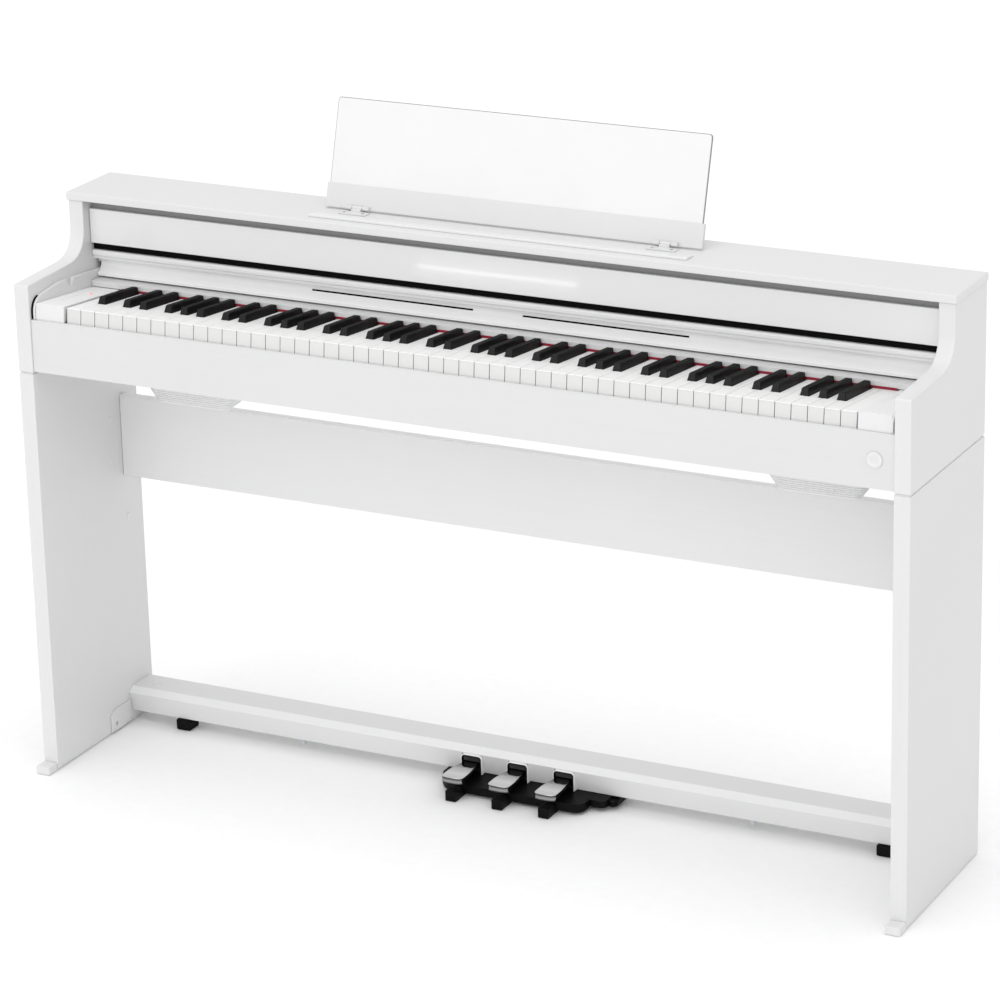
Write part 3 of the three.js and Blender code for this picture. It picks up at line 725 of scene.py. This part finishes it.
def white_outline(white):
    """Outline of a white key, notched beside its sharps, and the x range of its head."""
    x0 = KEYS_LEFT + white * PITCH + KEY_GAP / 2
    x1 = x0 + PITCH - KEY_GAP
    before, after = sharp_x(white - 1), sharp_x(white)
    t0 = x0 if before is None else before + SLOT_W / 2
    t1 = x1 if after is None else after - SLOT_W / 2
    points = [(x0, 0), (x1, 0)]
    if t1 < x1:
        points += [(x1, HEAD_LENGTH), (t1, HEAD_LENGTH)]
    points += [(t1, WHITE_END), (t0, WHITE_END)]
    if t0 > x0:
        points += [(t0, HEAD_LENGTH), (x0, HEAD_LENGTH)]
    return points, x0, x1


def add_white(bm, white):
    """Key top with its nose, and the paler front plate set back under it."""
    points, x0, x1 = white_outline(white)
    add_prism(bm, points, lambda u, v, end: (u, v, (-1.1, 0)[end]), keyboard)
    left, right = x0 + FRONT_INSET, x1 - FRONT_INSET
    inset = [(min(max(u, left), right), max(v, FRONT_SETBACK)) for u, v in points]
    # the front plate takes the darker key white: painted shade on the key fronts
    add_prism(bm, inset, lambda u, v, end: (u, v, (-9, -0.9)[end]), keyboard, 1)
    add_box(bm, (left, FRONT_SETBACK, -24), (right, 5, -8.5), keyboard, 1)


def add_sharp(bm, white):
    """Raised key with sides, front and back that lean in."""
    x = sharp_x(white)
    rings = []
    for z, half, y0, y1 in SHARP_SECTIONS:
        corners = [(x - half, y0), (x + half, y0), (x + half, y1), (x - half, y1)]
        rings.append([bm.verts.new(keyboard @ (Vector((u, v, z)) * MM)) for u, v in corners])
    for lower, upper in zip(rings, rings[1:]):
        for i in range(4):
            j = (i + 1) % 4
            face = bm.faces.new((lower[i], lower[j], upper[j], upper[i]))
            # front faces take the lighter black: painted light
            face.material_index = 1 if i == 0 else 0
    bm.faces.new(list(reversed(rings[0])))
    # the top takes the darkest black: painted shade
    bm.faces.new(rings[-1]).material_index = 2


def white_piece(node, whites):
    bm = bmesh.new()
    for white in whites:
        add_white(bm, white)
    obj = piece(node + "_finish", bm, ("key", "key_front_painted_shade"), node, 0.35 * MM, 3, 30)
    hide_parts(node)


def sharp_piece(node, whites):
    bm = bmesh.new()
    for white in whites:
        if sharp_x(white) is not None:
            add_sharp(bm, white)
    obj = piece(node + "_finish", bm, ("sharp", "sharp_front_painted_light", "sharp_top_painted_shade"), node,
                0.9 * MM, 3, 30)
    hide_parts(node)


white_piece("white_keys_low", range(OCTAVE[0]))
sharp_piece("black_keys_low", range(OCTAVE[0]))
white_piece("white_keys_high", range(OCTAVE[-1] + 1, WHITES))
sharp_piece("black_keys_high", range(OCTAVE[-1] + 1, WHITES - 1))
for white in OCTAVE:
    note = "key_" + NOTES[note_index(white)] + "4"
    white_piece(note, [white])
    if sharp_x(white) is not None:
        sharp_piece(note + "_sharp", [white])


# ---------------------------------------------------------------- pedals and knob


PEDALS = {"soft_pedal": -76, "sostenuto_pedal": 0, "damper_pedal": 76}
MOUTH_Z = 26.0  # middle of the pedal mouths
BEAM_FOOT = 17.5


def smooth_step(value, low, high):
    t = min(1.0, max(0.0, (value - low) / (high - low)))
    return t * t * (3 - 2 * t)


def pedal_stations():
    """(half width, depth, outward normal) from the broad rounded tip back to the waist."""
    half, tip, reach, pinch = 17.2, 12.0, 9.0, 5.0
    stations = [(7.0, tip, (0.0, -1.0))]
    for i in range(9, -1, -1):
        a = math.radians(7.5 * i)
        u, v = math.cos(a) ** 0.62, math.sin(a) ** 0.62
        if half * u > 8.5:
            n = Vector((math.cos(a) ** 1.38 / half, -math.sin(a) ** 1.38 / reach)).normalized()
            stations.append((half * u, tip + reach * (1 - v), tuple(n)))
    for y in (26, 32, 38, 44, 50, 56, 62, 68, 74, 80, 87, 94):
        stations.append((half - pinch * smooth_step(y, 34, 78), y, (1.0, 0.0)))
    return stations


def add_shell(bm, x, section):
    """Symmetric shell along the pedal; section(y) lists (inset, height) from the bottom to the top."""
    rows = []
    for half, y, (nx, ny) in pedal_stations():
        row = []
        for side in (1, -1):
            points = [Vector((x + side * (half - d * nx), y - d * ny, z)) for d, z in section(y)]
            row.append([bm.verts.new(point * MM) for point in points])
        rows.append(row)
    count = len(rows[0][0])
    for here, there in zip(rows, rows[1:]):
        for k in range(count - 1):
            for side in (0, 1):
                bm.faces.new((here[side][k], there[side][k], there[side][k + 1], here[side][k + 1]))
        for k in (0, count - 1):
            bm.faces.new((here[0][k], there[0][k], there[1][k], here[1][k]))
    for k in range(count - 1):
        bm.faces.new((rows[0][0][k], rows[0][0][k + 1], rows[0][1][k + 1], rows[0][1][k]))
    bm.faces.new(rows[-1][0] + list(reversed(rows[-1][1])))


def plate_section(y):
    """Thin plate whose front edge turns down into a tall lip."""
    low = 26.9 + 7.3 * smooth_step(y, 17, 27)
    top = 37.0 - 2.2 * smooth_step(y, 46, 94)
    return [(0.7, low), (0.15, low + 0.25), (0.0, low + 0.8), (0.0, top - 1.0), (0.12, top - 0.5),
            (0.5, top - 0.12), (1.1, top), (2.6, top)]


def body_section(y):
    """Black body under the plate, deeper towards the waist."""
    low = 27.4 - 1.0 * smooth_step(y, 30, 66)
    return [(3.0, low), (1.9, low + 1.0), (1.2, low + 3.0), (1.2, 35.0 - 2.2 * smooth_step(y, 46, 94))]


def pedal_piece(node, x):
    """Chrome plate with a tall front lip, on the black body that carries it."""
    bm = bmesh.new()
    add_shell(bm, x, plate_section)
    obj = piece(node + "_finish", bm, "pedal", node, angle=38)
    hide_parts(node)
    bm = bmesh.new()
    add_shell(bm, x, body_section)
    piece(node + "_body", bm, "black", node, angle=40)
    bm = bmesh.new()
    add_box(bm, (x - 9, 88, 25.8), (x + 9, 128, 32.6))
    piece(node + "_arm", bm, "black", node, 0.8 * MM, 2)


for node, x in PEDALS.items():
    pedal_piece(node, x)


def add_arch(bm, x):
    """Bezel round the mouth of a pedal: rounded rim, sloped inner wall and a dark plate behind it."""
    loops = [(32.0, 39.0, 5.0, 95.0), (32.0, 39.0, 5.0, 78.6), (31.2, 38.2, 4.6, 77.4),
             (30.0, 37.0, 4.2, 77.0), (28.6, 35.6, 3.8, 77.4), (27.8, 34.8, 3.5, 78.6),
             (27.4, 34.4, 3.3, 89.0)]
    add_rings(bm, [[(u, y, v) for u, v in rounded_rect(x, MOUTH_Z, w, h, r)] for w, h, r, y in loops])


def pedal_housing():
    """Black casting under the beam: base plate, bezels, and the rests below the pedals' tips."""
    bm = bmesh.new()
    plate = [(-120, 134), (-120, 72), (-112, 54), (-104, 44), (-96, 38), (-90, 36), (112, 36), (120, 40),
             (125, 48), (125, 134)]
    add_prism(bm, plate, lambda u, v, end: (u, v, (4.0, 17.2)[end]))
    add_prism(bm, [(124, 126), (124, 64), (138, 62), (147, 64), (150, 70), (150, 126)],
              lambda u, v, end: (u, v, (6.0, 17.2)[end]))
    add_prism(bm, [(149, 120), (149, 76), (157, 72), (163, 80), (163, 120)],
              lambda u, v, end: (u, v, (6.0, 14.2)[end]))
    obj = piece("pedal_housing_plate", bm, "black", "cabinet", 1.2 * MM, 3)
    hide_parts("pedal_housing")
    rest = [(9.0, 0.0), (9.4, 14.6), (10.4, 15.7), (12.0, 16.0), (27.0, 16.0), (31.0, 15.6)]
    rest += bezier((31.0, 15.6), (36.0, 14.6), (36.0, 12.4), (42.0, 11.2), 6)[1:]
    rest += [(60.0, 10.0), (60.0, 0.0)]
    bm = bmesh.new()
    for x in PEDALS.values():
        add_prism(bm, rest, lambda u, v, end: (x + (-8.5, 8.5)[end], u, v))
        add_box(bm, (x - 15, 50, 0), (x + 15, 134, 10))
    piece("pedal_rests", bm, "black", "cabinet", 0.8 * MM, 3, angle=26)
    bm = bmesh.new()
    for x in PEDALS.values():
        add_prism(bm, rounded_rect(x, 20, 13, 16, 2.0), lambda u, v, end: (u, v, (15.9, 16.3)[end]))
    piece("pedal_rest_pads", bm, "rubber", "cabinet", 0.25 * MM, 2)
    bm = bmesh.new()
    for x in PEDALS.values():
        add_arch(bm, x)
    piece("pedal_bezels", bm, "bezel", "cabinet", angle=50)
    bm = bmesh.new()
    for x in PEDALS.values():
        add_prism(bm, rounded_rect(x, 39.9, 27.6, 7.0, 1.6), lambda u, v, end: (u, (80.4, 83.0)[end], v))
    piece("pedal_mouth_plates", bm, "mouth", "cabinet", 0.2 * MM, 2, angle=40)
    # light collars round the bezels: a painted highlight on the rims of the beam's cut-outs
    bm = bmesh.new()
    for x in PEDALS.values():
        arch = [p for p in rounded_rect(x, MOUTH_Z, 34.6, 41.6, 6.2, 8) if p[1] > MOUTH_Z]
        hole = [p for p in rounded_rect(x, MOUTH_Z, 32.2, 39.2, 5.1, 8) if p[1] > MOUTH_Z]
        band = [(x + 17.3, 17.7)] + arch + [(x - 17.3, 17.7)]
        band += [(x - 16.1, 17.7)] + hole[::-1] + [(x + 16.1, 17.7)]
        add_prism(bm, band, lambda u, v, end: (u, (78.4, 89.5)[end], v))
    piece("pedal_painted_highlight_collars", bm, "edge_band", "cabinet", 0.3 * MM, 2, angle=40)


pedal_housing()


def beam():
    """Cross beam in lengths between the pedal mouths, with its feet and levelling pins."""
    full = [(88.5, BEAM_FOOT), (141, BEAM_FOOT), (141, 57.5), (91, 57.5), (81, 49)]
    bridge = [(81.6, 46.5), (141, 46.5), (141, 57.5), (91, 57.5), (81, 49)]
    wall = [(134, BEAM_FOOT), (141, BEAM_FOOT), (141, 46.4), (134, 46.4)]
    mouths = [x + side * 17 for x in PEDALS.values() for side in (-1, 1)]
    edges = [-CHEEK_INNER] + mouths + [CHEEK_INNER]
    bm = bmesh.new()
    for i, (x0, x1) in enumerate(zip(edges, edges[1:])):
        shape = rounded_outline(full if i % 2 == 0 else bridge, 0.9)
        add_prism(bm, shape, lambda u, v, end: ((x0, x1)[end], u, v))
        if i % 2:
            add_prism(bm, wall, lambda u, v, end: ((x0, x1)[end], u, v))
    bmesh.ops.recalc_face_normals(bm, faces=bm.faces)
    for face in bm.faces:
        # chamfer faces take the lighter satin copy: painted highlight
        chamfer_painted_highlight = abs(face.normal.x) < 0.5 and face.normal.y < -0.2 and face.normal.z > 0.3
        face.material_index = 1 if chamfer_painted_highlight else 0
    obj = piece("pedal_beam_finish", bm, ("board_x", "board_painted_highlight"), "cabinet", angle=30)
    even_shading(obj)
    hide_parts("pedal_beam")
    for side, name in ((-1, "left"), (1, "right")):
        bm = bmesh.new()
        x = side * 578
        add_prism(bm, rounded_outline([(83.5, 0), (112, 0), (112.5, 17.2), (83, 17.2)], 2.4),
                  lambda u, v, end: (x + (-12, 12)[end], u, v))
        obj = piece(name + "_beam_foot_finish", bm, "rubber", "cabinet", 2.2 * MM, 4, 40)
        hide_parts(name + "_beam_foot")
    bm = bmesh.new()
    for side in (-1, 1):
        add_lathe(bm, [(0, 17.9), (3.8, 17.9), (3.8, 9.2), (3.3, 8.4), (2.2, 8), (0, 8)],
                  Matrix.Translation(Vector((side * 371, 95, 0)) * MM), 24)
    piece("beam_pins", bm, "mark", "cabinet", angle=40)


beam()


def knob_piece():
    """Flat volume knob: a soft raised ring round a shallow dish; the ring is a lighter white than the dish,
    as painted highlight.
    """
    place = Matrix.Translation(Vector((642, -123.5, 670.3)) * MM)
    facing = place @ Matrix.Rotation(math.radians(90), 4, "X")
    bm = bmesh.new()
    ring = [(0, -8), (3, -8), (3, 0.4), (10.9, 0.4), (11.3, 0.7), (11.4, 1.1), (11.1, 1.6), (10.4, 2.0),
            (9.4, 2.2), (8.3, 2.15), (7.2, 1.85), (6.2, 1.5)]
    add_lathe(bm, ring, facing, 64)
    add_lathe(bm, [(6.2, 1.5), (5.0, 1.25), (3.0, 1.1), (0, 1.05)], facing, 64, 1)
    bmesh.ops.remove_doubles(bm, verts=bm.verts, dist=1e-6)
    obj = piece("volume_knob_finish", bm, ("knob", "plastic"), "volume_knob", angle=45)
    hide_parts("volume_knob")


knob_piece()


# ---------------------------------------------------------------- small fittings


def add_screw(bm, matrix, radius, height):
    """Pan-head cross screw; the matrix's z axis points out of the surface."""
    profile = [(0, -1), (radius, -1), (radius, 0.2), (radius * 0.92, height * 0.6),
               (radius * 0.6, height * 0.95), (0.9, height)]
    add_lathe(bm, profile, matrix, 24)
    add_lathe(bm, [(0.9, height), (0.7, height - 0.8), (0, height - 1.0)], matrix, 8)
    # the cross is a flush box in darker steel: painted shade of the recess
    for turn in (0, 90):
        cross = matrix @ Matrix.Rotation(math.radians(turn), 4, "Z")
        add_box(bm, (-radius * 0.55, -0.35, height * 0.9), (radius * 0.55, 0.35, height + 0.02), cross, 1)


def out_of(x, y, z, direction):
    """Frame at a point in millimetres whose z axis looks along a direction."""
    turn = Vector(direction).to_track_quat("Z", "Y").to_matrix().to_4x4()
    return Matrix.Translation(Vector((x, y, z)) * MM) @ turn


def screws():
    """Two rows of screws across the back panel, and a pair at each hinge of the music rest."""
    bm = bmesh.new()
    for z in (646, 830):
        for i in range(9):
            add_screw(bm, out_of(-640 + i * 160, 149.0, z, (0, 1, 0)), 3.4, 0.45)
    for side in (-1, 1):
        for x in (228, 258):
            add_screw(bm, out_of(side * x, 80, 860.6, (0, 0, 1)), 2.4, 0.7)
    piece("fixing_screws", bm, ("steel", "steel_cross_painted_shade"), "cabinet", angle=40)


screws()


def screw_caps():
    """Round plastic caps over the fasteners of the beam and the legs."""
    bm = bmesh.new()
    cap = [(0, -0.4), (5.6, -0.4), (5.6, 0.5), (5.1, 1.05), (3.8, 1.3), (0, 1.35)]
    for side in (-1, 1):
        add_lathe(bm, cap, out_of(side * 640, 112, 57.6, (0, 0, 1)), 32)
        add_lathe(bm, cap, out_of(side * CHEEK_INNER, 108, 330, (-side, 0, 0)), 32)
        for z in (430, 495):
            add_lathe(bm, cap, out_of(side * CHEEK_INNER, 70, z, (-side, 0, 0)), 32)
    piece("fastener_caps", bm, "plastic", "cabinet", angle=35)


screw_caps()


def end_block_marks():
    """Touch marks and a power lamp on the left block, and the ring round the power button."""
    bm = bmesh.new()
    for i in range(5):
        y = 38 + i * 13
        outline = []
        for k in range(12):
            a = 2 * math.pi * k / 12
            outline.append((-645 + 4.2 * math.cos(a), y + 0.9 * math.sin(a)))
        add_prism(bm, outline, lambda u, v, end: (u, v, (1.9, 2.04)[end]), keyboard)
    piece("touch_marks", bm, "mark", "cabinet")
    bm = bmesh.new()
    add_lathe(bm, [(0, -0.2), (2.1, -0.2), (2.0, 0.3), (1.2, 0.6), (0, 0.65)],
              keyboard @ Matrix.Translation(Vector((-634, 98, 2)) * MM), 20)
    piece("power_lamp", bm, "lamp", "cabinet", angle=50)
    bm = bmesh.new()
    add_lathe(bm, [(4.5, -0.3), (5.4, -0.3), (5.3, 0.3), (5.0, 0.4), (4.6, 0.3), (4.5, -0.3)],
              keyboard @ Matrix.Translation(Vector((628.8, 116, 2)) * MM), 40)
    piece("button_ring", bm, "plastic", "cabinet", angle=50)


end_block_marks()


def block_sills():
    """Slim sills that close the joint between the end blocks and the key slip."""
    bm = bmesh.new()
    for side in (-1, 1):
        sill = rounded_outline([(-119.3, 707.9), (-112, 707.9), (-112, 709.6), (-119.1, 709.3)], 0.4)
        add_prism(bm, sill, lambda u, v, end: (side * (616.7, 663.9)[end], u, v))
    piece("block_sills", bm, "end_block", "cabinet", angle=40)


block_sills()


def apron():
    """Front of the key cover: the hollow for the fingers, the lip under it and the guide arms."""
    bm = bmesh.new()
    profile = bezier((60.9, 754.6), (63.6, 749), (63.2, 738.6), (51.4, 733.6))
    profile += [(50.9, 733.2), (50.4, 732.4), (50.4, 728.9), (51.0, 728.3), (68, 728.3), (68, 759.2),
                (61, 759.2)]
    add_prism(bm, profile, lambda u, v, end: ((-663.6, 663.6)[end], u, v))
    # the cove takes the lightest copy of the satin white: painted light in the hollow
    obj = piece("lid_apron_finish", bm, "board_cove", "lid_front", angle=24)
    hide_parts("lid_apron", "lid_lip")
    bm = bmesh.new()
    for side in (-1, 1):
        add_box(bm, (min(side * 655, side * 661), 66, 731), (max(side * 655, side * 661), 130, 745))
        add_box(bm, (min(side * 662, side * 668.5), 61.6, 747), (max(side * 662, side * 668.5), 67.6, 759.2))
    piece("lid_guide_arms", bm, "plastic", "lid_front", 0.8 * MM, 2)
    bm = bmesh.new()
    for side in (-1, 1):
        add_lathe(bm, [(0, 0), (2.6, 0), (3, 0.5), (3, 7.2), (2.4, 7.9), (0, 7.9)],
                  out_of(side * 660.6, 124, 736.9, (side, 0, 0)), 32)
    piece("lid_guide_pins", bm, "steel", "lid_front", angle=40)


apron()


def cove_slits():
    """Two thin sound slits along the hollow of the key cover, drawn as black strips that paint the shade
    inside them.
    """
    bm = bmesh.new()
    for x0, x1 in ((-305, -44), (35, 292)):
        add_box(bm, (x0, 60.8, 743.0), (x1, 62.6, 745.3))
    piece("cover_slits", bm, "void", "lid_front", 0.2 * MM, 1)


cove_slits()


def slot_shade_strip():
    """Black strip behind the panel's lower edge, which closes the slot over the key cover; its black is
    painted shade for the slot.
    """
    bm = bmesh.new()
    add_prism(bm, [(52.3, 796), (54.3, 796), (54.0, 774), (53.4, 769.4), (52.6, 769.4)],
              lambda u, v, end: ((-669.2, 669.2)[end], u, v))
    piece("slot_shade_strip", bm, "void", "cabinet", 0.3 * MM, 1)


slot_shade_strip()


# ---------------------------------------------------------------- floor, lights and camera


def floor():
    """Wide pale floor just under the soles."""
    m = Nodes("floor_pale")
    speckle = m.noise((55.0, 55.0, 55.0), detail=4)
    m.colour(m.ramp(speckle, (0.3, (0.93, 0.93, 0.93)), (0.7, (0.95, 0.95, 0.95))))
    m.rough(m.remap(speckle, 0.75, 0.9))
    bm = bmesh.new()
    bmesh.ops.create_grid(bm, x_segments=2, y_segments=2, size=30)
    mesh = bpy.data.meshes.new("floor")
    bm.to_mesh(mesh)
    bm.free()
    obj = bpy.data.objects.new("floor", mesh)
    obj.location.z = -0.0005
    scene.collection.objects.link(obj)
    mesh.materials.append(m.material)


floor()

world = bpy.data.worlds.new("studio")
world.use_nodes = True
background = world.node_tree.nodes["Background"]
background.inputs["Color"].default_value = (1.0, 1.0, 1.0, 1.0)
background.inputs["Strength"].default_value = 0.84
scene.world = world


def area_light(name, location, target, size, power, lit):
    """Lamp that only the named kind of light sees: "glossy" for a streak, "diffuse" for a fill."""
    data = bpy.data.lights.new(name, "AREA")
    data.shape = "RECTANGLE"
    data.size, data.size_y = size
    data.energy = power
    obj = bpy.data.objects.new(name, data)
    obj.location = location
    obj.rotation_euler = (Vector(target) - Vector(location)).to_track_quat("-Z", "Y").to_euler()
    obj.visible_camera = False
    obj.visible_diffuse = lit == "diffuse"
    obj.visible_glossy = lit == "glossy"
    scene.collection.objects.link(obj)


def sun(name, source, strength, spread):
    """Soft sun that shines from a direction; spread is its angle in degrees."""
    data = bpy.data.lights.new(name, "SUN")
    data.energy = strength
    data.angle = math.radians(spread)
    obj = bpy.data.objects.new(name, data)
    obj.rotation_euler = Vector(source).to_track_quat("Z", "Y").to_euler()
    scene.collection.objects.link(obj)


sun("front", (0, -1, 0.35), 0.64, 50)
sun("top", (0, -0.1, 1), 0.70, 50)
sun("right", (1, -0.45, 0.5), 0.09, 50)
STREAK_LAMP, STREAK_SPOT = (-0.64, -1.2, 0.391), (-0.64, 0.046, 0.8044)
area_light("streak", STREAK_LAMP, STREAK_SPOT, (0.312, 0.007), 0.038, "glossy")
area_light("streak_glow", STREAK_LAMP, STREAK_SPOT, (0.33, 0.035), 0.010, "glossy")
area_light("key_fill", (0, -0.75, 1.35), (0, 0, 0.72), (1.5, 0.3), 0.5, "diffuse")

CAMERA_PLACE = Vector((2.5503, -4.8961, 2.4436))
YAW, PITCH_DOWN, ROLL = math.radians(27.3), math.radians(19.546), math.radians(-1.422)
FOCAL_LENGTH, SENSOR_WIDTH = 148.35, 36.0
reach = math.cos(PITCH_DOWN)
forward = Vector((-math.sin(YAW) * reach, math.cos(YAW) * reach, -math.sin(PITCH_DOWN)))
level = Vector((math.cos(YAW), math.sin(YAW), 0))
upward = level.cross(forward)
right = math.cos(ROLL) * level + math.sin(ROLL) * upward
up = -math.sin(ROLL) * level + math.cos(ROLL) * upward
camera_data = bpy.data.cameras.new("camera")
camera_data.sensor_width = SENSOR_WIDTH
camera_data.lens = FOCAL_LENGTH
camera_data.clip_end = 200.0
camera = bpy.data.objects.new("camera", camera_data)
aim = Matrix((right, up, -forward)).transposed().to_4x4()
camera.matrix_world = Matrix.Translation(CAMERA_PLACE) @ aim
scene.collection.objects.link(camera)
scene.camera = camera

scene.view_settings.view_transform = "Standard"
